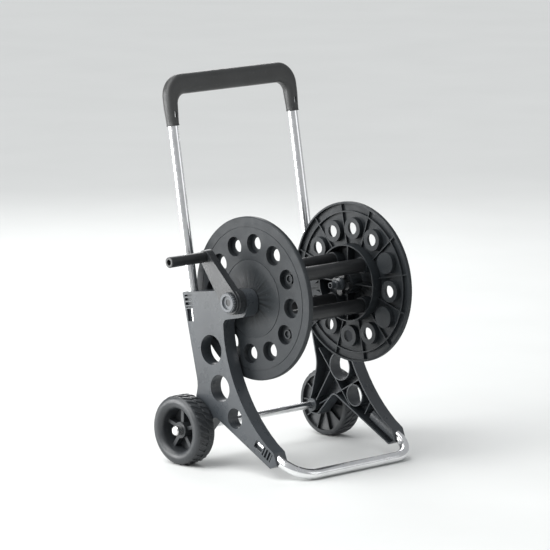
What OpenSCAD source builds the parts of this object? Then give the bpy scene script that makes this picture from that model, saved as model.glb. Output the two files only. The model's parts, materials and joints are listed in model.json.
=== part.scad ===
// Garden hose reel cart: two moulded side frames, an aluminium handle and foot, a crank-driven
// hose drum that feeds water through its axis, and two transport wheels.
// X runs across the cart (crank on the negative side), Z is up, the handle leans towards +Y.

/* [Overall] */
// Height of the top of the handle above the ground
overall_h = 810; // [780:5:840]
// Height of the drum axis above the ground
reel_z = 361; // [355:1:370]

/* [Side frames] */
// Distance between the outer faces of the two side frames
frames_w = 378; // [374:2:384]
// Depth of one moulded side frame
frame_t = 32; // [30:1:34]
// Wall thickness of the mouldings
wall = 2.6; // [2:0.1:3]
// Diameter of the large window in a side frame
window_1_d = 63; // [50:1:64]
// Diameter of the middle window in a side frame
window_2_d = 57; // [44:1:58]
// Diameter of the lower window in a side frame
window_3_d = 43; // [34:1:44]

/* [Handle and foot] */
// Outer diameter of the aluminium tubes of the handle and the foot
tube_d = 22; // [20:0.5:23]
// Wall thickness of the aluminium tubes
tube_wall = 1.4; // [1:0.1:2]
// Backward lean of the handle, in degrees
handle_lean = 10; // [9:0.5:11]
// Height of the hand bar, top to bottom
bar_h = 43; // [36:1:46]
// Depth of the hand bar, front to back
bar_t = 29; // [28:1:32]
// Height above the ground where the handle sleeves end
sleeve_z = 702; // [690:1:715]
// Downward slope of the foot tube, in degrees
foot_slope = 28.5; // [27:0.5:30]
// Centreline radius of the two bends of the foot tube
foot_bend_r = 58; // [45:1:65]

/* [Drum] */
// Radius of a drum flange
flange_r = 171; // [165:1:172]
// Distance between the outer faces of the two flanges
flanges_w = 300; // [296:1:300]
// Radius of the circle that the flange cups sit on
cup_pitch_r = 116; // [112:1:118]
// Diameter of the mouth of a flange cup
cup_d = 41; // [36:1:42]
// Diameter of the hole in the bottom of a flange cup
cup_hole_d = 25; // [18:1:28]
// Diameter of one drum tube
drum_tube_d = 30; // [26:1:31]
// Radius of the circle that the four drum tubes stand on
drum_pitch_r = 61; // [58:1:62]

/* [Crank] */
// Distance from the drum axis to the crank grip axis
crank_r = 115; // [90:1:120]
// Backward angle of the crank arm from upright, in degrees
crank_angle = 42; // [0:1:60]
// Length of the crank grip
grip_len = 97; // [90:1:115]
// Diameter of the crank grip
grip_d = 23; // [22:0.5:28]

/* [Wheels] */
// Diameter of a wheel
wheel_d = 147; // [140:1:147]
// Width of a wheel
wheel_w = 50; // [46:1:52]
// Distance of the wheel axle behind the drum axis
axle_y = 139; // [136:1:141]
// Diameter of the axle rod
axle_d = 16; // [14:0.5:16]

/* [Water passage] */
// Diameter of the water spindle
spindle_d = 18; // [17:0.5:18]
// Diameter of the water passage
bore_d = 9; // [8:0.5:10]
// Diameter of the nose of a hose connector nipple
nipple_d = 13.6; // [13:0.1:14]

/* [Hidden] */

$fn = 96;
slip = 0.05;                 // radial gap of a running or sliding fit

wheel_r = wheel_d / 2;
tube_r = tube_d / 2;
axle_r = axle_d / 2;
spindle_r = spindle_d / 2;
frame_x = frames_w / 2;      // outer face of a side frame
tube_x = frame_x - frame_t / 2;
flange_x = flanges_w / 2;    // outer face of a flange
shaft_r = 11;
bush_r = 14.5;

// A point on the handle line, and the height where the tubes start
handle_y0 = 149.6;
handle_z0 = 331;
tube_z0 = 298;
// A point on the line of the foot legs
foot_y0 = -64;
foot_z0 = 62;
foot_start = 24;             // length of a foot leg above that point
foot_len = (foot_z0 - tube_r) / sin(foot_slope);
bend_start = foot_len - foot_bend_r - 2;
mouth_gap = 1.8;             // room in a foot socket where the tube starts to bend

// The wheels, measured along the axle
wheel_x0 = frame_x + 1.6;
wheel_x1 = wheel_x0 + wheel_w;
cap_x1 = wheel_x1 + 1;

// The crank, measured along the drum axis from the left frame outwards
hub_x = frame_x + 1.4;
arm_x0 = frame_x + 7;
arm_x1 = arm_x0 + 18;
nut_x1 = arm_x1 + 8;
grip_x0 = arm_x1 + 0.8;
grip_x1 = grip_x0 + grip_len;

// The origin is the middle of the cart's box, on the ground
inlet_x = frame_x + 30;
nipple_len = 32;
mid_x = (inlet_x + nipple_len - grip_x1) / 2;
bar_z = overall_h - bar_h / 2 * cos(handle_lean) - bar_t / 2 * sin(handle_lean);
bar_y = handle_y0 + (bar_z - handle_z0) * tan(handle_lean);
back_y = bar_y + bar_h / 2 * sin(handle_lean) + bar_t / 2 * cos(handle_lean);
mid_y = (back_y - flange_r) / 2;

plastic = "#42474d";
dark = "#1d1f22";
metal = "#d4d7da";

// ---- outline helpers: an outline is a list of [y, z, corner radius], turning clockwise ----

function unit(v) = v / norm(v);
function side(v) = [v[1], -v[0]];
function yz(c) = [c[0], c[1]];
function at(list, i) = list[(i + len(list)) % len(list)];
function turn(a, b, c) = (b[0] - a[0]) * (c[1] - b[1]) - (b[1] - a[1]) * (c[0] - b[0]);

// The outline moved inwards by t
function inset(outline, t) = [for (i = [0:len(outline) - 1])
    let (a = yz(at(outline, i - 1)), b = yz(outline[i]), c = yz(at(outline, i + 1)),
         n1 = side(unit(b - a)), n2 = side(unit(c - b)),
         p = b + t * (n1 + n2) / (1 + n1 * n2),
         r = outline[i][2])
    [p[0], p[1], r == 0 ? 0 : turn(a, b, c) < 0 ? max(r - t, 0.5) : r + t]];

// The points of one rounded corner
function corner(a, b, c, r) =
    let (u = unit(a - b), v = unit(c - b), half = acos(min(max(u * v, -1), 1)) / 2,
         m = b + unit(u + v) * r / sin(half),
         d = r / tan(half), p = b + u * d - m, q = b + v * d - m,
         a0 = atan2(p[1], p[0]), da = atan2(q[1], q[0]) - a0,
         sweep = da > 180 ? da - 360 : da < -180 ? da + 360 : da,
         n = max(2, ceil(abs(sweep) / 9)))
    [for (k = [0:n]) m + r * [cos(a0 + sweep * k / n), sin(a0 + sweep * k / n)]];

function rounded(outline) = [for (i = [0:len(outline) - 1])
    let (b = outline[i])
    each b[2] == 0 ? [yz(b)] : corner(yz(at(outline, i - 1)), yz(b), yz(at(outline, i + 1)), b[2])];

// ---- placing helpers ----

// Extrudes a drawing in the Y-Z plane along +X
module along_x(length) { rotate([90, 0, 90]) linear_extrude(length) children(); }

// A round bar along X, from x0 to x1, at height z and depth y
module bar_x(x0, x1, r, y = 0, z = reel_z) {
    translate([x0, y, z]) rotate([0, 90, 0]) cylinder(h = x1 - x0, r = r);
}

// A turned shape about an X axis; the drawing holds [radius, x]
module turned_x(points, y = 0, z = reel_z) {
    translate([0, y, z]) rotate([0, 90, 0]) rotate_extrude($fn = 144) polygon(points);
}

// The handle's own frame: +Z runs up the tube, the origin is on the handle line
module on_handle(x = 0) { translate([x, handle_y0, handle_z0]) rotate([-handle_lean, 0, 0]) children(); }

// The foot leg's own frame: +Z runs up the leg
module on_leg(x = 0) { translate([x, foot_y0, foot_z0]) rotate([foot_slope - 90, 0, 0]) children(); }

module mirrored(s) { if (s > 0) children(); else mirror([1, 0, 0]) children(); }

// Moves a finished part so that the origin is the middle of the cart, on the ground
module place() { translate([-mid_x, -mid_y, 0]) children(); }

// ---- side frame ----

front_arc = [-275.7, 330.4, 324];
front_points = [for (a = [-58:4:-10]) [front_arc[0] + front_arc[2] * cos(a),
                                       front_arc[1] + front_arc[2] * sin(a), 0]];
frame_outline = concat(
    [[171, 358, 4], [140, 100, 30], [157, 57, 15], [121, 53, 15], [72, 108, 12],
     [-95, 22, 5], [-115, 31, 4]],
    [front_points[0] + [-1, 0.6, 4]],
    [for (i = [1:len(front_points) - 1]) front_points[i]],
    [[47, 315, 14], [-26, 331, 24], [-26, 388, 25]]);
frame_shape = concat([frame_outline[0], [123, 167, 60]],
                     [for (i = [1:len(frame_outline) - 1]) frame_outline[i]]);
windows = [[83, 247, window_1_d], [56, 169, window_2_d], [11, 112, window_3_d]];
ribs = [[[120, 200], [10, 70]], [[-22, 160], [118, 78]], [[66, 186], [132, 78]],
        [[160, 345], [24, 236]], [[24, 312], [140, 226]], [[-40, 110], [-20, 76]]];

module rib(a, b, depth) {
    translate([0, a[0], a[1]]) rotate([atan2(b[1] - a[1], b[0] - a[0]), 0, 0])
        translate([0, 0, -1]) cube([depth, norm(b - a), 2]);
}

// Raised bars across a snap tongue, in the frame of the tube that it holds
module tongue_bars(z0) {
    for (k = [0:2]) translate([-frame_t / 2 + 0.2, -11, z0 + 9 * k]) cube([3.2, 22, 3.4]);
}

// The left frame; x = 0 is its outer face and it opens towards +X
module frame_body() {
    difference() {
        union() {
            along_x(wall) polygon(rounded(frame_shape));
            difference() {
                along_x(frame_t) polygon(rounded(frame_shape));
                translate([wall / 2, 0, 0]) along_x(frame_t) polygon(rounded(inset(frame_shape, 3)));
            }
            intersection() {
                along_x(frame_t - 3) polygon(rounded(inset(frame_shape, 1)));
                union() {
                    for (r = ribs) rib(r[0], r[1], frame_t);
                    for (w = windows)
                        translate([0, w[0], w[1]]) rotate([0, 90, 0]) cylinder(h = frame_t, d = w[2] + 5);
                }
            }
            translate([0, 0, reel_z]) rotate([0, 90, 0]) cylinder(h = frame_t, r = 17.5);
            translate([0, axle_y, wheel_r]) rotate([0, 90, 0]) cylinder(h = frame_t, r = 14);
            intersection() {
                along_x(frame_t) polygon(rounded(frame_shape));
                union() {
                    translate([frame_t / 2, handle_y0, handle_z0]) rotate([-handle_lean, 0, 0])
                        translate([0, 0, -40]) cylinder(h = 80, r = tube_r + 3);
                    translate([frame_t / 2, foot_y0, foot_z0]) rotate([foot_slope - 90, 0, 0])
                        translate([0, 0, -70]) cylinder(h = 70 + foot_start + 6, r = tube_r + 3);
                }
            }
        }
        for (w = windows)
            translate([-1, w[0], w[1]]) rotate([0, 90, 0]) cylinder(h = frame_t + 2, d = w[2]);
        translate([-1, 0, reel_z]) rotate([0, 90, 0]) cylinder(h = frame_t + 2, r = bush_r);
        translate([-1, axle_y, wheel_r]) rotate([0, 90, 0]) cylinder(h = frame_t + 2, r = axle_r + slip);
        translate([frame_t / 2, handle_y0, handle_z0]) rotate([-handle_lean, 0, 0]) {
            translate([0, 0, -34]) cylinder(h = 90, r = tube_r + slip);
            translate([-30, -8, -32]) cube([20, 17, 26]);
            translate([-30, -11, -3]) cube([18.6, 22, 27]);
        }
        translate([frame_t / 2, foot_y0, foot_z0]) rotate([foot_slope - 90, 0, 0]) {
            translate([0, 0, -90]) cylinder(h = 90 + foot_start, r = tube_r + slip);
            translate([0, 0, -90]) cylinder(h = 90 - bend_start, r = tube_r + mouth_gap);
            translate([-30, -8, -8]) cube([20, 16, 24]);
            translate([-30, -10, -38]) cube([18.6, 20, 27]);
        }
    }
    intersection() {
        along_x(frame_t) polygon(rounded(frame_shape));
        union() {
            translate([frame_t / 2, handle_y0, handle_z0]) rotate([-handle_lean, 0, 0]) tongue_bars(-1);
            translate([frame_t / 2, foot_y0, foot_z0]) rotate([foot_slope - 90, 0, 0]) tongue_bars(-36);
        }
    }
}

module side_frame_left() { color(plastic) translate([-frame_x, 0, 0]) frame_body(); }
module side_frame_right() { color(plastic) mirror([1, 0, 0]) translate([-frame_x, 0, 0]) frame_body(); }

// ---- handle and foot ----

handle_tube_len = 440;

module handle_tube(s) {
    color(metal) on_handle(s * tube_x) translate([0, 0, (tube_z0 - handle_z0) / cos(handle_lean)])
        difference() {
            cylinder(h = handle_tube_len, r = tube_r);
            translate([0, 0, -1]) cylinder(h = handle_tube_len + 2, r = tube_r - tube_wall);
        }
}

// Hand bar with its two sleeves, drawn in the plane of the handle
grip_top = (bar_z - handle_z0) / cos(handle_lean) + bar_h / 2;
sleeve_low = (sleeve_z - handle_z0) / cos(handle_lean);
module handle_grip() {
    leg_w = 29;
    out_x = tube_x + leg_w / 2;
    in_x = tube_x - leg_w / 2;
    shoulder = grip_top - bar_h - 24;
    outer = [[-out_x, shoulder, 0], [-out_x, grip_top, 48], [out_x, grip_top, 48], [out_x, shoulder, 0]];
    inner = [[-in_x, shoulder - 1, 0], [-in_x, grip_top - bar_h, 24], [in_x, grip_top - bar_h, 24],
             [in_x, shoulder - 1, 0]];
    color(dark) difference() {
        on_handle() union() {
            rotate([90, 0, 0]) translate([0, 0, -bar_t / 2]) linear_extrude(bar_t) difference() {
                polygon(rounded(outer));
                polygon(rounded(inner));
            }
            for (s = [-1, 1]) translate([s * tube_x, 0, sleeve_low])
                cylinder(h = shoulder - sleeve_low + 10, r = tube_r + 2.3);
        }
        for (s = [-1, 1]) on_handle(s * tube_x) {
            translate([0, 0, sleeve_low - 1]) cylinder(h = 84, r = tube_r + slip);
            translate([-3, -30, sleeve_low + 18]) cube([6, 22, 12]);
        }
    }
}

// A quarter bend of a round bar in the X-Z plane, from +X round to -Z
module quarter_bend(r) {
    intersection() {
        rotate([90, 0, 0]) rotate_extrude() translate([foot_bend_r, 0]) circle(r = r);
        translate([0, -r - 1, -foot_bend_r - r - 1]) cube([foot_bend_r + r + 1, 2 * r + 2, foot_bend_r + r + 1]);
    }
}

// Half of the foot as a round bar, drawn in the plane of the foot from its middle outwards
module foot_half(r, start) {
    bend_x = tube_x - foot_bend_r;
    bend_z = foot_bend_r - foot_len;
    translate([bend_x, 0, bend_z]) quarter_bend(r);
    translate([tube_x, 0, bend_z]) cylinder(h = start - bend_z, r = r);
    translate([0, 0, -foot_len]) rotate([0, 90, 0]) cylinder(h = bend_x, r = r);
}

module foot_bar(r, start) {
    foot_half(r, start);
    mirror([1, 0, 0]) foot_half(r, start);
}

module foot_tube() {
    color(metal) on_leg() difference() {
        foot_bar(tube_r, foot_start - 1);
        foot_bar(tube_r - tube_wall, foot_start);
    }
}

// ---- axle and wheels ----

module axle_rod() { color(metal) bar_x(-wheel_x1 - 0.5, wheel_x1 + 0.5, axle_r, axle_y, wheel_r); }

module axle_cap(s) {
    color(metal) mirrored(s) turned_x([[axle_r, wheel_x1 - 13], [axle_r + 2, wheel_x1 - 13],
        [axle_r + 2, cap_x1 - 2], [axle_r, cap_x1], [0, cap_x1], [0, wheel_x1 + 0.5],
        [axle_r, wheel_x1 + 0.5]], axle_y, wheel_r);
}
module axle_cap_left() { axle_cap(-1); }
module axle_cap_right() { axle_cap(1); }

module axle_washer(s) {
    color(metal) mirrored(s) turned_x([[axle_r + 0.2, frame_x], [14, frame_x], [14, frame_x + 1.2],
        [axle_r + 0.2, frame_x + 1.2]], axle_y, wheel_r);
}
module axle_washer_left() { axle_washer(-1); }
module axle_washer_right() { axle_washer(1); }

lip_r = 45.5;
hub_r = 17;
web_x = wheel_x0 + 12;
module wheel(s) {
    hub_end = wheel_x1 - 14;
    bulge = (wheel_r - lip_r) / 2;
    // The outer side wall of the tyre is a full round from the dish to the tread
    outer_wall = [for (a = [0:12:180]) [lip_r + bulge - bulge * cos(a), wheel_x1 - 13 + 13 * sin(a)]];
    color(plastic) mirrored(s) difference() {
        union() {
            turned_x(concat([[lip_r - 2, web_x]], outer_wall, [[wheel_r, wheel_x0 + 9],
                [wheel_r - 1, wheel_x0 + 5], [wheel_r - 4, wheel_x0 + 1.5], [wheel_r - 9, wheel_x0],
                [wheel_r - 12, wheel_x0], [wheel_r - 12, web_x - 3], [lip_r - 2, web_x - 3]]),
                axle_y, wheel_r);
            turned_x([[hub_r - 1, web_x - 3], [lip_r - 1, web_x - 3], [lip_r - 1, web_x],
                [hub_r - 1, web_x]], axle_y, wheel_r);
            bar_x(wheel_x0, hub_end, hub_r, axle_y, wheel_r);
            for (k = [0:4]) translate([0, axle_y, wheel_r]) rotate([18 + 72 * k, 0, 0])
                translate([web_x - 1, hub_r - 2, -4]) cube([hub_end - web_x - 6, lip_r - hub_r + 2.5, 8]);
            for (k = [0:9]) translate([0, axle_y, wheel_r]) rotate([36 * k, 0, 0])
                translate([wheel_x0 + 2, hub_r - 1, -1.2])
                    cube([web_x - wheel_x0 - 3, wheel_r - 12 - hub_r + 2, 2.4]);
        }
        bar_x(wheel_x0 - 1, wheel_x1 + 1, axle_r + 0.06, axle_y, wheel_r);
    }
}
module wheel_left() { wheel(-1); }
module wheel_right() { wheel(1); }

// ---- bearings and water inlet ----

module crank_bush() {
    color(dark) turned_x([[shaft_r + slip, -frame_x - 1], [bush_r + 3, -frame_x - 1],
        [bush_r + 3, -frame_x], [bush_r, -frame_x], [bush_r, -frame_x + frame_t],
        [shaft_r + slip, -frame_x + frame_t]]);
}

module spindle_bush() {
    color(dark) turned_x([[spindle_r + slip, frame_x - frame_t], [bush_r, frame_x - frame_t],
        [bush_r, frame_x], [spindle_r + slip, frame_x]]);
}

module inlet_body() {
    color(plastic) difference() {
        union() {
            turned_x([[0, frame_x], [26, frame_x], [26, frame_x + 4], [20, frame_x + 6],
                [19, inlet_x - 3], [16, inlet_x], [0, inlet_x]]);
            for (a = [45:90:315]) translate([0, 0, reel_z]) rotate([a, 0, 0])
                translate([frame_x, 10, -1.5]) cube([16, 14, 3]);
        }
        bar_x(frame_x - 1, frame_x + 20, spindle_r + slip);
        bar_x(frame_x, inlet_x + 1, 8);
        bar_x(frame_x + 7, frame_x + 9.6, spindle_r + 2);
        bar_x(frame_x + 12, frame_x + 14.6, spindle_r + 2);
    }
}

module o_ring(x, r, d) {
    translate([x, 0, reel_z]) rotate([0, 90, 0]) rotate_extrude() translate([r, 0]) circle(d = d, $fn = 32);
}
module inlet_o_rings() {
    color("#101010") {
        o_ring(frame_x + 8.3, spindle_r + 1.1, 1.7);
        o_ring(frame_x + 13.3, spindle_r + 1.1, 1.7);
    }
}

module spindle_circlip() {
    color(metal) difference() {
        bar_x(frame_x - frame_t - 1.6, frame_x - frame_t - 0.4, spindle_r + 4);
        bar_x(frame_x - frame_t - 3, frame_x, spindle_r - 1);
        translate([frame_x - frame_t - 3, -4, reel_z]) cube([5, 8, 20]);
    }
}

// Male hose connector nipple on an X axis: root radius root_r at x0, nose at x0 + nipple_len
module connector_nipple(x0, root_r) {
    nose = x0 + nipple_len;
    difference() {
        turned_x([[0, x0 - 10], [root_r - slip, x0 - 10], [root_r - slip, x0 + 2], [13, x0 + 2],
            [13, x0 + 8], [8.4, x0 + 9], [8.4, x0 + 15], [10.2, x0 + 15.6], [10.2, x0 + 18],
            [8.4, x0 + 19], [nipple_d / 2, x0 + 21], [nipple_d / 2, nose - 1],
            [nipple_d / 2 - 1, nose], [0, nose]]);
        bar_x(x0 - 11, nose + 1, bore_d / 2);
    }
}
module inlet_nipple() { color(plastic) connector_nipple(inlet_x, 8); }
module inlet_seal() {
    color("#101010") turned_x([[8.3, inlet_x], [12.5, inlet_x], [12.5, inlet_x + 2], [8.3, inlet_x + 2]]);
}

// ---- drum ----

rim_r0 = flange_r - 6;
collar_r = 82;
closed_cups = [2, 4];
// A flange with its outer face at x = 0, opening towards +X; hub_bore is the radius of its centre hole
module flange(hub_bore) {
    difference() {
        union() {
            rotate([0, 90, 0]) rotate_extrude($fn = 180) polygon([[hub_bore - 3, -5.2], [21, -5.2],
                [24, -4.4], [31, -2.6], [45, -0.9], [62, -0.1], [collar_r - 1.2, 0], [collar_r - 1.2, 0.9],
                [collar_r + 0.4, 0.9], [collar_r + 0.4, 0], [149.2, 0], [149.2, 0.9], [150.8, 0.9],
                [150.8, 0], [flange_r - 2, 0], [flange_r, 2], [flange_r, 10], [rim_r0 + 2, 11],
                [rim_r0 + 2, 3], [151.5, 3], [151.5, 9], [149, 9], [149, 3], [collar_r, 3],
                [collar_r, 28], [collar_r - 2.6, 28], [collar_r - 2.6, 3], [62, 3], [45, 2.2], [31, 0.8],
                [24, 1], [23, 30], [hub_bore - 3, 30]]);
            for (k = [0:11]) rotate([30 * k + 17.6, 0, 0])
                translate([1.5, collar_r - 1, -1.2]) cube([7, rim_r0 + 2 - collar_r, 2.4]);
            for (k = [0:11]) rotate([30 * k + 2.6, 0, 0]) translate([0.5, 0, cup_pitch_r])
                rotate([0, 90, 0]) cylinder(h = 14.5, d = cup_d + 4.4);
            for (k = [0:3]) rotate([45 + 90 * k, 0, 0]) translate([1, 0, drum_pitch_r])
                rotate([0, 90, 0]) cylinder(h = 25, d = drum_tube_d + 4.6);
            for (k = [0:3]) rotate([90 * k, 0, 0]) translate([0.8, 20, -1.2]) cube([22, collar_r - 21, 2.4]);
        }
        rotate([0, 90, 0]) translate([0, 0, -8]) cylinder(h = 50, r = hub_bore);
        for (k = [0:11]) rotate([30 * k + 2.6, 0, 0]) translate([-1, 0, cup_pitch_r]) rotate([0, 90, 0]) {
            cylinder(h = 13.5, d = cup_d);
            if (len([for (c = closed_cups) if (c == k) c]) == 0) cylinder(h = 20, d = cup_hole_d);
        }
        for (k = [0:3]) rotate([45 + 90 * k, 0, 0]) translate([4, 0, drum_pitch_r])
            rotate([0, 90, 0]) cylinder(h = 30, r = drum_tube_d / 2 + slip);
    }
    for (k = closed_cups) rotate([30 * k + 2.6, 0, 0]) translate([7, 0, cup_pitch_r]) rotate([0, 90, 0])
        difference() {
            cylinder(h = 7, d = 19);
            translate([0, 0, -1]) cylinder(h = 5, d = 14);
        }
}

pin_r = 2.5;                  // cross pin that keys the crank shaft to its flange
pin_x = -flange_x + 22;
module flange_left() {
    color(plastic) difference() {
        translate([-flange_x, 0, reel_z]) flange(shaft_r);
        translate([pin_x, 0, reel_z - 26]) cylinder(h = 52, r = pin_r + slip);
    }
}
module flange_right() {
    color(plastic) mirror([1, 0, 0]) translate([-flange_x, 0, reel_z]) flange(spindle_r);
}

module drum_tube(angle) {
    color(dark) translate([0, 0, reel_z]) rotate([angle, 0, 0]) translate([0, 0, drum_pitch_r])
        difference() {
            rotate([0, 90, 0]) translate([0, 0, -flange_x + 4.2])
                cylinder(h = 2 * flange_x - 8.4, r = drum_tube_d / 2);
            rotate([0, 90, 0]) translate([0, 0, -flange_x])
                cylinder(h = 2 * flange_x, r = drum_tube_d / 2 - 2);
        }
}
module drum_tube_upper_front() { drum_tube(45); }
module drum_tube_lower_front() { drum_tube(135); }
module drum_tube_lower_rear() { drum_tube(225); }
module drum_tube_upper_rear() { drum_tube(315); }

// ---- crank ----

module crank_shaft() {
    color(dark) difference() {
        union() {
            bar_x(-arm_x1 + 3, -flange_x + 34, shaft_r);
            bar_x(-arm_x1 - 3, -arm_x1 + 4, 7);
        }
        bar_x(-flange_x + 6, -flange_x + 35, 7);
        translate([pin_x, 0, reel_z - 25]) cylinder(h = 50, r = pin_r + slip);
    }
}

module shaft_cross_pin() { color(metal) translate([pin_x, 0, reel_z - 21]) cylinder(h = 42, r = pin_r); }

// The crank arm's own frame: +Z points along the arm, the origin is on the drum axis
module on_arm() { translate([0, 0, reel_z]) rotate([-crank_angle, 0, 0]) children(); }
module arm_round(x0, x1, r, up = 0) {
    translate([x0, 0, up]) rotate([0, 90, 0]) cylinder(h = x1 - x0, r = r);
}
arm_hub_r = 27;
arm_tip_r = 14.5;
grip_pin_r = 4;
module crank_arm() {
    // Where the straight sides of the arm meet its two round ends
    taper = asin((arm_hub_r - 2 - arm_tip_r) / crank_r);
    low = (arm_hub_r - 2) * [cos(taper), sin(taper)];
    high = [0, crank_r] + arm_tip_r * [cos(taper), sin(taper)];
    color(dark) on_arm() difference() {
        union() {
            arm_round(-arm_x1, -hub_x, arm_hub_r - 2);
            arm_round(-arm_x1 + 6, -hub_x, arm_hub_r);
            arm_round(-arm_x1, -arm_x0, arm_tip_r, crank_r);
            translate([-arm_x0, 0, 0]) mirror([1, 0, 0]) along_x(arm_x1 - arm_x0)
                polygon([[-low[0], low[1]], low, high, [-high[0], high[1]]]);
        }
        arm_round(-arm_x1 + 3, -hub_x + 1, shaft_r);
        arm_round(-arm_x1 - 1, -arm_x1 + 4, 7);
        arm_round(-arm_x1 - 1, -arm_x0 + 1, grip_pin_r + slip, crank_r);
    }
}

module crank_nut() {
    serrations = 26;
    color(dark) translate([-nut_x1, 0, reel_z]) rotate([0, 90, 0]) difference() {
        union() {
            cylinder(h = 8, r = 18.8);
            translate([0, 0, 1.2]) linear_extrude(6) polygon([for (k = [0:4 * serrations - 1])
                let (a = 90 * k / serrations, r = k % 4 < 2 ? 21.4 : 19.4) [r * cos(a), r * sin(a)]]);
        }
        translate([0, 0, -1]) cylinder(h = 5, r = 14);
        translate([0, 0, 2]) cylinder(h = 7, r = 7);
    }
}

grip_head_depth = 12;        // how far the head of the grip pin sits inside the grip
module grip_pin() {
    head_x = -grip_x1 + grip_head_depth;
    color(metal) on_arm() union() {
        arm_round(head_x + 3, -arm_x0, grip_pin_r, crank_r);
        arm_round(head_x, head_x + 4, 5.6, crank_r);
    }
}

module crank_grip() {
    grip_r = grip_d / 2;
    color(dark) on_arm() difference() {
        translate([0, 0, crank_r]) rotate([0, 90, 0]) rotate_extrude() polygon([[0, -grip_x1],
            [grip_r - 2, -grip_x1], [grip_r - 0.6, -grip_x1 + 0.6], [grip_r, -grip_x1 + 2],
            [grip_r - 0.5, -grip_x1 + 40], [grip_r, -grip_x0 - 3], [grip_r - 1, -grip_x0],
            [0, -grip_x0]]);
        arm_round(-grip_x1 - 1, -grip_x1 + grip_head_depth + 4.05, 6, crank_r);
        arm_round(-grip_x1, 0, grip_pin_r + slip, crank_r);
    }
}

// ---- water passage in the drum ----

spindle_x0 = flange_x - 42;
module water_spindle() {
    color(dark) difference() {
        union() {
            bar_x(spindle_x0, frame_x + 19.5, spindle_r);
            bar_x(flange_x - 34, flange_x - 30, 17);
        }
        bar_x(spindle_x0 - 1, frame_x + 20, bore_d / 2);
        bar_x(spindle_x0 - 1, spindle_x0 + 11, 6.5);
        difference() {
            bar_x(frame_x - frame_t - 1.6, frame_x - frame_t - 0.4, spindle_r + 1);
            bar_x(frame_x - frame_t - 2, frame_x - frame_t, spindle_r - 1);
        }
    }
}

module wing_nut() {
    x0 = spindle_x0 - 1;
    color(dark) difference() {
        union() {
            bar_x(x0, x0 + 8, 14);
            for (k = [0:3]) translate([0, 0, reel_z]) rotate([90 * k + 10, 0, 0])
                translate([x0, 0, 18]) rotate([0, 90, 0]) cylinder(h = 8, r = 7.5);
        }
        bar_x(x0 - 1, x0 + 9, spindle_r);
    }
}

module outlet_nipple() { color(plastic) mirror([1, 0, 0]) connector_nipple(-spindle_x0, 6.5); }
module outlet_seal() {
    color("#101010") turned_x([[6.6, spindle_x0 - 2], [8.9, spindle_x0 - 2], [8.9, spindle_x0],
        [6.6, spindle_x0]]);
}

place() side_frame_left();
place() side_frame_right();
place() handle_tube(-1);  // handle_tube_left
place() handle_tube(1);  // handle_tube_right
place() handle_grip();
place() foot_tube();
place() axle_rod();
place() axle_cap_left();
place() axle_cap_right();
place() axle_washer_left();
place() axle_washer_right();
place() crank_bush();
place() spindle_bush();
place() inlet_body();
place() inlet_o_rings();
place() spindle_circlip();
place() inlet_nipple();
place() inlet_seal();
place() flange_left();
place() flange_right();
place() drum_tube_upper_front();
place() drum_tube_lower_front();
place() drum_tube_lower_rear();
place() drum_tube_upper_rear();
place() crank_shaft();
place() shaft_cross_pin();
place() crank_arm();
place() crank_nut();
place() grip_pin();
place() crank_grip();
place() water_spindle();
place() wing_nut();
place() outlet_nipple();
place() outlet_seal();
place() wheel_left();
place() wheel_right();
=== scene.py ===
"""Looks of the garden hose reel cart: moulded plastic, drawn aluminium tube, tread and studio light."""

import json
import math

import bmesh
import bpy
from mathutils import Matrix, Vector


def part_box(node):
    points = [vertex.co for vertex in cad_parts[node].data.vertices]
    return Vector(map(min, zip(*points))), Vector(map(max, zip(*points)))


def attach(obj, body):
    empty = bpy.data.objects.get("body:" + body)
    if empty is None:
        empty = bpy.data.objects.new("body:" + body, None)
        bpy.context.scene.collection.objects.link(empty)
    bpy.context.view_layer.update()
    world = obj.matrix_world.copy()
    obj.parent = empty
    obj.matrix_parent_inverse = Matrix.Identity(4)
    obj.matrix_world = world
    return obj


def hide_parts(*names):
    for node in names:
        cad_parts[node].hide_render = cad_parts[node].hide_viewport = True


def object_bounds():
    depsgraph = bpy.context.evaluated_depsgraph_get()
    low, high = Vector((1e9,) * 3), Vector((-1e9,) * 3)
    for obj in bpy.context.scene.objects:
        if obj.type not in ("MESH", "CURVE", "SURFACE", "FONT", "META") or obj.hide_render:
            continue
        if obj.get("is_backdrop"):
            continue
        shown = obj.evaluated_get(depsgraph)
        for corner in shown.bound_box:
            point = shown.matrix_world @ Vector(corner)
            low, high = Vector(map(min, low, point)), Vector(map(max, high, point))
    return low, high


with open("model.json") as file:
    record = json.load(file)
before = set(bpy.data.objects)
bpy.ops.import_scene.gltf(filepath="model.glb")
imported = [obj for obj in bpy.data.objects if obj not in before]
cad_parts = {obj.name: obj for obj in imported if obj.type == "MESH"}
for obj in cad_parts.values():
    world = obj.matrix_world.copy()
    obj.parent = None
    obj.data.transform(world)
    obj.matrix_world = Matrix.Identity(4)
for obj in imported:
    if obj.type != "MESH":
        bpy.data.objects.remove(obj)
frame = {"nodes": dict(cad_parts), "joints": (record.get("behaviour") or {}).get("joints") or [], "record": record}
cad_low, cad_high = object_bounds()
drum_axis = next(j for j in frame["joints"] if j["name"] == "reel_turn")["pos_m"]
nodes = frame["nodes"]
slot_of = {s["node"]: s["material_slot"] for s in frame["record"]["subparts"]}
MM = 0.001
LEAN = math.radians(10)  # the handle leans back by this much
WHITE = (1.0, 1.0, 1.0, 1.0)
DUST_COLOUR = (0.20, 0.20, 0.19, 1.0)


# ---- materials ----


def new_material(name):
    """A material with one Principled shader; returns (material, nodes, links, shader)."""
    mat = bpy.data.materials.new(name)
    mat.use_nodes = True
    tree = mat.node_tree
    return mat, tree.nodes, tree.links, tree.nodes["Principled BSDF"]


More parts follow.
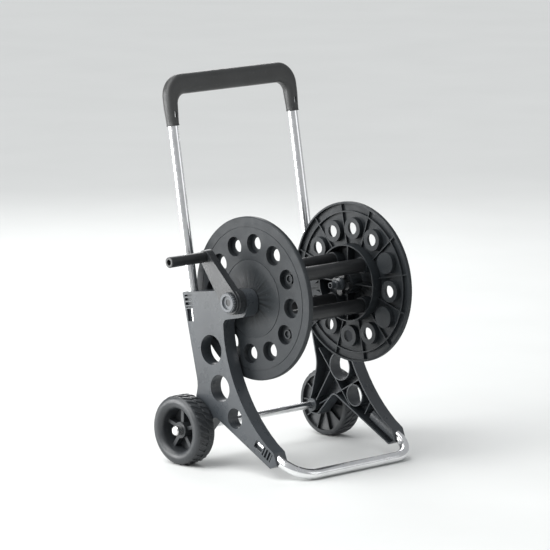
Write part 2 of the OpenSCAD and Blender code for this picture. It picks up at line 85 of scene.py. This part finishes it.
def noise(n, links, scale, detail=3.0, stretch=(1, 1, 1), lean=0.0):
    """Noise in the object's own space, drawn out by stretch along axes that lean back."""
    place = n.new("ShaderNodeTexCoord")
    turn = n.new("ShaderNodeMapping")
    turn.vector_type = "TEXTURE"
    turn.inputs["Scale"].default_value = stretch
    turn.inputs["Rotation"].default_value = (-lean, 0, 0)
    tex = n.new("ShaderNodeTexNoise")
    tex.inputs["Scale"].default_value = scale
    tex.inputs["Detail"].default_value = detail
    links.new(place.outputs["Object"], turn.inputs["Vector"])
    links.new(turn.outputs["Vector"], tex.inputs["Vector"])
    return tex


def ramp(n, links, source, low, high, low_colour, high_colour):
    """A colour that goes from low_colour to high_colour as source goes from low to high."""
    node = n.new("ShaderNodeValToRGB")
    for element, place, colour in zip(node.color_ramp.elements, (low, high), (low_colour, high_colour)):
        element.position = place
        element.color = (*colour, 1.0)
    links.new(source, node.inputs["Fac"])
    return node


def mix(n, links, kind, factor, first, second):
    """Blends two colours; each value is a constant or the output socket of another node."""
    node = n.new("ShaderNodeMixRGB")
    node.blend_type = kind
    for socket, value in zip(("Fac", "Color1", "Color2"), (factor, first, second)):
        if hasattr(value, "is_linked"):
            links.new(value, node.inputs[socket])
        else:
            node.inputs[socket].default_value = value
    return node.outputs["Color"]


def grey(value):
    return (value, value, value)


def bump(n, links, shader, heights):
    """Chains bumps onto the shader; each height is (source, strength, distance in metres)."""
    normal = None
    for source, strength, distance in heights:
        node = n.new("ShaderNodeBump")
        node.inputs["Strength"].default_value = strength
        node.inputs["Distance"].default_value = distance
        links.new(source, node.inputs["Height"])
        if normal:
            links.new(normal, node.inputs["Normal"])
        normal = node.outputs["Normal"]
    links.new(normal, shader.inputs["Normal"])


def plastic(name, colour, rough, grain=0.3, hub_shade_centre=None, ior=1.5):
    """Moulded polypropylene: spark-eroded grain, flow marks, uneven gloss and a little dust.

    The optional centre (y, z) is the middle of a disc that gets painted shade round it: dark radial streaks that
    stand for the shade and reflections on the flange round the hub.
    """
    mat, n, links, shader = new_material(name)
    flow = noise(n, links, 11.0, detail=4.0)
    tone = ramp(n, links, flow.outputs["Fac"], 0.3, 0.7,
                tuple(c * 0.86 for c in colour), tuple(c * 1.14 for c in colour)).outputs["Color"]
    heights = [(noise(n, links, 1500.0, detail=2.0).outputs["Fac"], grain, 0.00012)]
    # Painted shade: dark radial streaks round the hub darken the colour, and the same streaks also give a slight
    # bump
    if hub_shade_centre:
        lines = painted_hub_shade(n, links, hub_shade_centre)
        tone = mix(n, links, "MULTIPLY", 1.0, tone, lines)
        heights.append((lines, 0.9, 0.0007))
    dust = noise(n, links, 260.0, detail=6.0)
    speck = ramp(n, links, dust.outputs["Fac"], 0.60, 0.78, grey(0.0), grey(0.16))
    links.new(mix(n, links, "MIX", speck.outputs["Color"], tone, DUST_COLOUR), shader.inputs["Base Color"])
    gloss = noise(n, links, 42.0, detail=5.0)
    band = ramp(n, links, gloss.outputs["Fac"], 0.25, 0.75, grey(rough - 0.06), grey(rough + 0.09))
    links.new(band.outputs["Color"], shader.inputs["Roughness"])
    bump(n, links, shader, heights)
    shader.inputs["IOR"].default_value = ior
    return mat


def painted_hub_shade(n, links, hub_shade_centre):
    """Painted shade round the hub: dark radial streaks, standing for shade and reflections, that fade into white
    with distance from the centre.
    """
    place = n.new("ShaderNodeTexCoord")
    parts = n.new("ShaderNodeSeparateXYZ")
    links.new(place.outputs["Object"], parts.inputs["Vector"])
    offsets = []
    for axis, centre in zip("YZ", hub_shade_centre):
        take = n.new("ShaderNodeMath")
        take.operation = "SUBTRACT"
        take.inputs[1].default_value = centre
        links.new(parts.outputs[axis], take.inputs[0])
        offsets.append(take.outputs[0])
    angle = n.new("ShaderNodeMath")
    angle.operation = "ARCTAN2"
    flat = n.new("ShaderNodeCombineXYZ")
    for source, math_input, flat_input in zip(offsets, angle.inputs, (flat.inputs["X"], flat.inputs["Y"])):
        links.new(source, math_input)
        links.new(source, flat_input)
    reach = n.new("ShaderNodeVectorMath")
    reach.operation = "LENGTH"
    links.new(flat.outputs["Vector"], reach.inputs[0])
    ray = n.new("ShaderNodeCombineXYZ")
    links.new(angle.outputs[0], ray.inputs["X"])
    tex = n.new("ShaderNodeTexNoise")
    tex.inputs["Scale"].default_value = 7.0
    tex.inputs["Detail"].default_value = 4.0
    links.new(ray.outputs["Vector"], tex.inputs["Vector"])
    lines = ramp(n, links, tex.outputs["Fac"], 0.38, 0.56, grey(0.25), grey(1.0))
    fade = ramp(n, links, reach.outputs["Value"], 0.035, 0.072, grey(1.0), grey(0.0))
    return mix(n, links, "MIX", fade.outputs["Color"], WHITE, lines.outputs["Color"])


def drawn_metal(name, colour, rough, stretch=(1, 1, 1), lean=0.0):
    """Drawn aluminium or plated steel: fine lines along the stretch axis and faint handling marks."""
    mat, n, links, shader = new_material(name)
    shader.inputs["Metallic"].default_value = 1.0
    streak = noise(n, links, 900.0, detail=2.0, stretch=stretch, lean=lean)
    marks = noise(n, links, 26.0, detail=6.0)
    tint = ramp(n, links, marks.outputs["Fac"], 0.3, 0.6, tuple(c * 0.90 for c in colour), colour)
    links.new(tint.outputs["Color"], shader.inputs["Base Color"])
    band = ramp(n, links, streak.outputs["Fac"], 0.3, 0.7, grey(rough - 0.03), grey(rough + 0.05))
    smear = noise(n, links, 60.0, detail=4.0)
    smudge = ramp(n, links, smear.outputs["Fac"], 0.45, 0.75, grey(0.0), grey(0.10))
    gloss = mix(n, links, "ADD", 1.0, band.outputs["Color"], smudge.outputs["Color"])
    links.new(gloss, shader.inputs["Roughness"])
    bump(n, links, shader, [(streak.outputs["Fac"], 0.05, 0.00003)])
    return mat


def rubber(name):
    """Black seal rubber, matt and finely speckled."""
    mat, n, links, shader = new_material(name)
    speck = noise(n, links, 700.0, detail=2.0)
    tint = ramp(n, links, speck.outputs["Fac"], 0.3, 0.7, grey(0.010), grey(0.020))
    links.new(tint.outputs["Color"], shader.inputs["Base Color"])
    gloss = ramp(n, links, speck.outputs["Fac"], 0.3, 0.7, grey(0.68), grey(0.80))
    links.new(gloss.outputs["Color"], shader.inputs["Roughness"])
    bump(n, links, shader, [(speck.outputs["Fac"], 0.3, 0.0001)])
    return mat


ALUMINIUM = (0.92, 0.925, 0.93)
FRAME_GREY = plastic("frame_plastic", (0.043, 0.049, 0.055), 0.29)
# The drum flanges get painted shade, in dark radial streaks, round the hub on the drum axis
DRUM_GREY = plastic("drum_plastic", (0.019, 0.0225, 0.0255), 0.48, hub_shade_centre=drum_axis[1:], ior=1.36)
WHEEL_GREY = plastic("wheel_plastic", (0.030, 0.033, 0.036), 0.36, grain=0.45)
ARM_GREY = plastic("crank_plastic", (0.024, 0.026, 0.028), 0.27)
NUT_GREY = plastic("nut_plastic", (0.10, 0.108, 0.118), 0.34)
BLACK = plastic("black_plastic", (0.0125, 0.0135, 0.0145), 0.33)
GRIP_BLACK = plastic("hand_grip_plastic", (0.034, 0.035, 0.035), 0.42, grain=0.5)
TUBE_UP = drawn_metal("aluminium_up", ALUMINIUM, 0.15, (1, 1, 60), LEAN)
TUBE_ACROSS = drawn_metal("aluminium_across", ALUMINIUM, 0.17, (60, 1, 1))
STEEL = drawn_metal("steel", (0.70, 0.70, 0.69), 0.26)
RUBBER = rubber("seal_rubber")
FRAME_EDGE = plastic("frame_plastic_rubbed", (0.085, 0.094, 0.100), 0.26, grain=0.12)
DRUM_EDGE = plastic("drum_plastic_rubbed", (0.062, 0.070, 0.075), 0.36, grain=0.12)
ARM_EDGE = plastic("crank_plastic_rubbed", (0.040, 0.043, 0.046), 0.24, grain=0.12)

BY_NODE = {
    "handle_tube_left": TUBE_UP,
    "handle_tube_right": TUBE_UP,
    "wheel_left": WHEEL_GREY,
    "wheel_right": WHEEL_GREY,
    "flange_left": DRUM_GREY,
    "flange_right": DRUM_GREY,
    "crank_arm": ARM_GREY,
    "crank_nut": NUT_GREY,
    "handle_grip": GRIP_BLACK,
}
BY_SLOT = {
    "grey_plastic": FRAME_GREY,
    "black_plastic": BLACK,
    "aluminium": TUBE_ACROSS,
    "steel": STEEL,
    "seal_rubber": RUBBER,
}
# Rounded edges take a rubbed, slightly paler and glossier finish
RUBBED = {
    FRAME_GREY: FRAME_EDGE,
    DRUM_GREY: DRUM_EDGE,
    WHEEL_GREY: DRUM_EDGE,
    ARM_GREY: ARM_EDGE,
    NUT_GREY: FRAME_EDGE,
    BLACK: ARM_EDGE,
}


def material_of(name):
    """The finish of a CAD node: its own if it has one, or else that of its material slot."""
    return BY_NODE.get(name, BY_SLOT[slot_of[name]])


def give(obj, mat):
    """Makes mat the only material of obj."""
    obj.data.materials.clear()
    obj.data.materials.append(mat)


def smooth(obj, angle=32):
    """Shades smooth, with sharp edges kept where faces meet at more than angle degrees."""
    mesh = obj.data
    mesh.polygons.foreach_set("use_smooth", [True] * len(mesh.polygons))
    mesh.set_sharp_from_angle(angle=math.radians(angle))
    mesh.update()


def add_object(name, data):
    """Puts a mesh, lamp or camera in the scene."""
    obj = bpy.data.objects.new(name, data)
    bpy.context.scene.collection.objects.link(obj)
    return obj


def object_from(name, bm):
    """Turns a finished bmesh into a named object in the scene."""
    mesh = bpy.data.meshes.new(name)
    bm.to_mesh(mesh)
    bm.free()
    return add_object(name, mesh)


def round_edges(obj, width, segments, angle):
    """Rounds the edges where faces meet at more than angle degrees."""
    bevel = obj.modifiers.new("edges", "BEVEL")
    bevel.width = width
    bevel.segments = segments
    bevel.limit_method = "ANGLE"
    bevel.angle_limit = math.radians(angle)
    return bevel


for node_name, node_obj in nodes.items():
    give(node_obj, material_of(node_name))


# ---- moulded parts: the CAD shape with its edges rounded, as a mould leaves them ----


def body_of_node(name):
    bodies = frame["record"]["behaviour"]["bodies"]
    return next(body for body, members in bodies.items() if name in members)


def moulded(name, width, segments=2, reshape=None):
    """A copy of a CAD node with merged faces and rounded edges, which stands for that node."""
    mesh = nodes[name].data.copy()
    mesh.name = name + "_moulded"
    bm = bmesh.new()
    bm.from_mesh(mesh)
    bmesh.ops.remove_doubles(bm, verts=bm.verts, dist=0.00002)
    bmesh.ops.dissolve_limit(bm, angle_limit=math.radians(0.8), verts=bm.verts, edges=bm.edges)
    if reshape:
        reshape(bm)
    bmesh.ops.recalc_face_normals(bm, faces=bm.faces)
    bm.to_mesh(mesh)
    bm.free()
    obj = add_object(name + "_moulded", mesh)
    finish = material_of(name)
    give(obj, finish)
    obj.data.materials.append(RUBBED[finish])
    smooth(obj)
    bevel = round_edges(obj, width, segments, 34)
    bevel.material = 1
    bevel.harden_normals = True
    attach(obj, body_of_node(name))
    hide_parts(name)


moulded("side_frame_left", 0.7 * MM)
moulded("side_frame_right", 0.7 * MM)
moulded("flange_left", 0.6 * MM)
moulded("flange_right", 0.6 * MM)
moulded("crank_arm", 2.4 * MM, segments=3)
moulded("crank_nut", 0.25 * MM)
moulded("wing_nut", 1.0 * MM)
moulded("inlet_body", 0.7 * MM)


# ---- hand grip: one soft-edged bar that narrows round its bends into two round sleeves ----

ROUND = 2.0  # power of a superellipse: 2 is an ellipse, more is squarer
LEG_POWER = 2.25
BAR_POWER = 2.85


def hand_grip():
    """A loft from sleeve to sleeve. Each station is (outer point, inner point, depth, power)."""
    lean = Matrix.Rotation(-LEAN, 3, "X")
    local = [lean.inverted() @ v.co for v in nodes["handle_grip"].data.vertices]
    mid = (max(p.x for p in local) + min(p.x for p in local)) / 2
    out = max(p.x for p in local) - mid
    top = max(p.z for p in local)
    end = min(p.z for p in local)
    depth_mid = (max(p.y for p in local) + min(p.y for p in local)) / 2
    depth = max(p.y for p in local) - min(p.y for p in local)
    leg, bar, sleeve, tube = 29 * MM, 43 * MM, 26.6 * MM, 22.1 * MM
    outer_bend, inner_bend = 48 * MM, 24 * MM
    tube_x = out - leg / 2
    shoulder = top - bar - inner_bend
    stations = []

    def leg_station(height, width, thick, power):
        stations.append(((-tube_x - width / 2, height), (-tube_x + width / 2, height), thick, power))

    # The bore round the handle tube, then the rolled lip at the open end of the sleeve
    for height, width in (
        (60 * MM, tube),
        (0, tube),
        (0, sleeve - 0.8 * MM),
        (0.6 * MM, sleeve + 0.6 * MM),
        (2.2 * MM, sleeve + 0.6 * MM),
        (3.0 * MM, sleeve - 0.4 * MM),
    ):
        leg_station(end + height, width, width, ROUND)
    # The leg, which widens upwards
    leg_steps = 6
    for step in range(leg_steps + 1):
        grow = step / leg_steps
        width = sleeve + (leg - sleeve) * grow
        height = end + 10 * MM + (shoulder - end - 12 * MM) * grow
        leg_station(height, width, width, ROUND + (LEG_POWER - ROUND) * grow)
    # The bend, a quarter turn in which the section grows into that of the bar
    bend_steps = 12
    for step in range(1, bend_steps + 1):
        grow = step / bend_steps
        turn = math.pi - math.pi / 2 * grow
        outer_x = -out + outer_bend + outer_bend * math.cos(turn)
        outer_z = top - outer_bend + outer_bend * math.sin(turn)
        inner_x = -tube_x + leg / 2 + inner_bend + inner_bend * math.cos(turn)
        inner_z = top - bar - inner_bend + inner_bend * math.sin(turn)
        thick = leg + (depth - leg) * grow
        power = LEG_POWER + (BAR_POWER - LEG_POWER) * grow
        stations.append(((outer_x, outer_z), (inner_x, inner_z), thick, power))
    # Half of the bar, and then all stations again in mirror image
    bar_steps = 6
    bar_end = stations[-1][0][0]
    for step in range(1, bar_steps + 1):
        x = bar_end * (1 - step / bar_steps)
        stations.append(((x, top), (x, top - bar), depth, BAR_POWER))
    for outer, inner, thick, power in stations[-2::-1]:
        stations.append(((-outer[0], outer[1]), (-inner[0], inner[1]), thick, power))

    bm = bmesh.new()
    around = 40
    rings = []
    for outer, inner, thick, power in stations:
        middle = Vector((mid + (outer[0] + inner[0]) / 2, depth_mid, (outer[1] + inner[1]) / 2))
        half = Vector((outer[0] - inner[0], 0, outer[1] - inner[1])) / 2
        ring = []
        for k in range(around):
            t = 2 * math.pi * k / around
            c = math.copysign(abs(math.cos(t)) ** (2 / power), math.cos(t))
            s = math.copysign(abs(math.sin(t)) ** (2 / power), math.sin(t))
            ring.append(bm.verts.new(lean @ (middle + half * c + Vector((0, thick / 2 * s, 0)))))
        rings.append(ring)
    for a, b in zip(rings, rings[1:]):
        for k in range(around):
            bm.faces.new((a[k], a[(k + 1) % around], b[(k + 1) % around], b[k]))
    bm.faces.new(rings[0][::-1])
    bm.faces.new(rings[-1])
    bmesh.ops.recalc_face_normals(bm, faces=bm.faces)
    grip = object_from("hand_grip", bm)
    windows = [Vector((mid + side * tube_x, depth_mid - 14 * MM, end + 24 * MM)) for side in (-1, 1)]
    cut_windows(grip, [lean @ window for window in windows])
    give(grip, GRIP_BLACK)
    smooth(grip, 40)
    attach(grip, "cart")
    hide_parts("handle_grip")


def cut_windows(grip, places):
    """Cuts the two small snap windows through the front of the sleeves and applies the cut."""
    bm = bmesh.new()
    shape = Matrix.Diagonal((6 * MM, 9 * MM, 12 * MM, 1))
    turn = Matrix.Rotation(-LEAN, 4, "X")
    for place in places:
        bmesh.ops.create_cube(bm, size=1.0, matrix=Matrix.Translation(place) @ turn @ shape)
    cutter = object_from("window_cutter", bm)
    cut = grip.modifiers.new("windows", "BOOLEAN")
    cut.operation = "DIFFERENCE"
    cut.solver = "EXACT"
    cut.object = cutter
    bpy.context.view_layer.update()
    done = grip.evaluated_get(bpy.context.evaluated_depsgraph_get())
    finished = bpy.data.meshes.new_from_object(done)
    grip.modifiers.clear()
    grip.data = finished
    bpy.data.objects.remove(cutter)


hand_grip()


# ---- wheels: two rows of slanted lugs on the running surface, fading into the round shoulder ----

LUGS = 30
TREAD_DEPTH = 2.2 * MM
LUG_DEPTH = 3.4 * MM  # from the top of a lug to its foot inside the carcass
BULGE = 14 * MM  # fall of the round outer shoulder, over a width of BULGE_WIDE
BULGE_WIDE = 13 * MM
INNER_FALL = 7 * MM  # fall of the inner shoulder, over a width of INNER_EDGE
INNER_EDGE = 9 * MM


def carcass(bm, centre, radius):
    """Sinks the running surface by the tread depth, so that the lugs stand out to full size."""
    for v in bm.verts:
        flat = Vector((0, v.co.y - centre.y, v.co.z - centre.z))
        if flat.length > radius - TREAD_DEPTH:
            new = flat.normalized() * (radius - TREAD_DEPTH)
            v.co.y = centre.y + new.y
            v.co.z = centre.z + new.z


def tyre_radius(radius, from_outside, from_inside):
    """Radius of the full tyre at a distance from its outer and its inner side wall."""
    if from_outside < BULGE_WIDE:
        return radius - BULGE + BULGE * math.sqrt(1 - (1 - from_outside / BULGE_WIDE) ** 2)
    if from_inside < INNER_EDGE:
        return radius - INNER_FALL * (1 - from_inside / INNER_EDGE) ** 2
    return radius


def tread(name, centre, radius, outside, inside):
    """Lugs from the middle of the tread to each shoulder; outside and inside are x of the side walls."""
    bm = bmesh.new()
    middle = outside + (inside - outside) * 0.56
    reach = {-1: outside + (inside - outside) * 0.13, 1: inside + (outside - inside) * 0.05}
    steps = 7
    pitch = 2 * math.pi / LUGS
    for row, last in reach.items():
        for k in range(LUGS):
            start = (k + (0.5 if row > 0 else 0)) * pitch
            rings = []
            for i in range(steps + 1):
                s = 0.03 + 0.97 * i / steps
                x = middle + (last - middle) * s
                top = tyre_radius(radius, abs(x - outside), abs(x - inside))
                base = top - LUG_DEPTH
                width = pitch * (0.33 - 0.11 * s)
                turn = start + row * 0.75 * pitch * s
                ring = []
                for r, a in ((base, -width), (top, -width * 0.78), (top, width * 0.78), (base, width)):
                    y = centre.y + r * math.cos(turn + a)
                    z = centre.z + r * math.sin(turn + a)
                    ring.append(bm.verts.new((x, y, z)))
                rings.append(ring)
            for a, b in zip(rings, rings[1:]):
                for j in range(4):
                    bm.faces.new((a[j], a[(j + 1) % 4], b[(j + 1) % 4], b[j]))
            bm.faces.new(rings[0][::-1])
            bm.faces.new(rings[-1])
    bmesh.ops.recalc_face_normals(bm, faces=bm.faces)
    return object_from(name, bm)


for side in ("left", "right"):
    wheel = "wheel_" + side
    low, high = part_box(wheel)
    centre = (low + high) / 2
    radius = centre.z
    walls = (low.x, high.x) if side == "left" else (high.x, low.x)
    moulded(wheel, 0.8 * MM, reshape=lambda bm: carcass(bm, centre, radius))
    lugs = tread(wheel + "_tread", centre, radius, *walls)
    give(lugs, WHEEL_GREY)
    smooth(lugs)
    round_edges(lugs, 0.5 * MM, 2, 40)
    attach(lugs, wheel)


# ---- the rest of the cart is the CAD shape itself, shaded smooth ----

for obj in nodes.values():
    smooth(obj)


# ---- stage, light and camera ----

FLOOR_HALF = 40.0
VIEW_AZIMUTH = -43.7
VIEW_ELEVATION = 9.9
VIEW_DISTANCE = 8.9
VIEW_TARGET = Vector((drum_axis[0], drum_axis[1], cad_high.z / 2))
VIEW_SLIDE = (0.061, 0.012)  # metres that the picture moves right and up
FOCAL_PIXELS = 4258.0
FRAME_PIXELS = 550
SENSOR_WIDTH = 36.0


def stage():
    """A wide pale floor, so that every view from above the ground ends on it."""
    bm = bmesh.new()
    bmesh.ops.create_grid(bm, x_segments=8, y_segments=8, size=FLOOR_HALF)
    floor = object_from("floor", bm)
    mat, n, links, shader = new_material("pale_floor")
    cloud = noise(n, links, 3.0)
    tone = ramp(n, links, cloud.outputs["Fac"], 0.3, 0.7, (0.66, 0.67, 0.66), (0.68, 0.69, 0.68))
    links.new(tone.outputs["Color"], shader.inputs["Base Color"])
    shader.inputs["Roughness"].default_value = 0.8
    give(floor, mat)
    floor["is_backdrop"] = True


def area_light(name, place, target, size, power):
    """A rectangular lamp at place that shines at target."""
    data = bpy.data.lights.new(name, "AREA")
    data.shape = "RECTANGLE"
    data.size, data.size_y = size
    data.energy = power
    lamp = add_object(name, data)
    lamp.location = place
    lamp.rotation_euler = (Vector(target) - Vector(place)).to_track_quat("-Z", "Y").to_euler()


def light():
    """Four lamps round the cart, a soft overhead light and a pale surround."""
    area_light("left_glare", (-1.9, 1.7, 0.75), (-0.2, 0.0, 0.5), (1.6, 1.5), 62)
    area_light("left_key", (-2.7, 0.2, 2.0), (0, 0, 0.4), (1.8, 1.8), 52)
    area_light("front_fill", (1.6, -3.0, 1.5), (0, 0, 0.4), (2.0, 1.6), 8)
    area_light("back_rim", (1.6, 2.4, 1.9), (0, 0, 0.5), (1.6, 1.6), 30)
    overhead = bpy.data.lights.new("overhead", "SUN")
    overhead.energy = 2.0
    overhead.angle = math.radians(50)
    add_object("overhead", overhead).rotation_euler = (math.radians(-14), math.radians(-20), 0)
    world = bpy.data.worlds.new("studio")
    world.use_nodes = True
    background = world.node_tree.nodes["Background"]
    background.inputs["Color"].default_value = (0.95, 0.97, 1.0, 1)
    background.inputs["Strength"].default_value = 0.42
    bpy.context.scene.world = world
    bpy.context.scene.view_settings.view_transform = "Standard"


def camera():
    """A camera round the middle of the cart, at the angle the cart is pictured from."""
    data = bpy.data.cameras.new("camera")
    data.sensor_fit = "HORIZONTAL"
    data.sensor_width = SENSOR_WIDTH
    data.lens = SENSOR_WIDTH * FOCAL_PIXELS / FRAME_PIXELS
    cam = add_object("camera", data)
    a, e = math.radians(VIEW_AZIMUTH), math.radians(VIEW_ELEVATION)
    back = Vector((math.sin(a) * math.cos(e), -math.cos(a) * math.cos(e), math.sin(e)))
    right = Vector((math.cos(a), math.sin(a), 0))
    up = back.cross(right)
    aim = VIEW_TARGET - right * VIEW_SLIDE[0] - up * VIEW_SLIDE[1]
    cam.location = aim + back * VIEW_DISTANCE
    cam.rotation_mode = "QUATERNION"
    cam.rotation_quaternion = Matrix((right, up, back)).transposed().to_quaternion()
    data.clip_end = 60
    bpy.context.scene.camera = cam


stage()
light()
camera()

low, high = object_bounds()
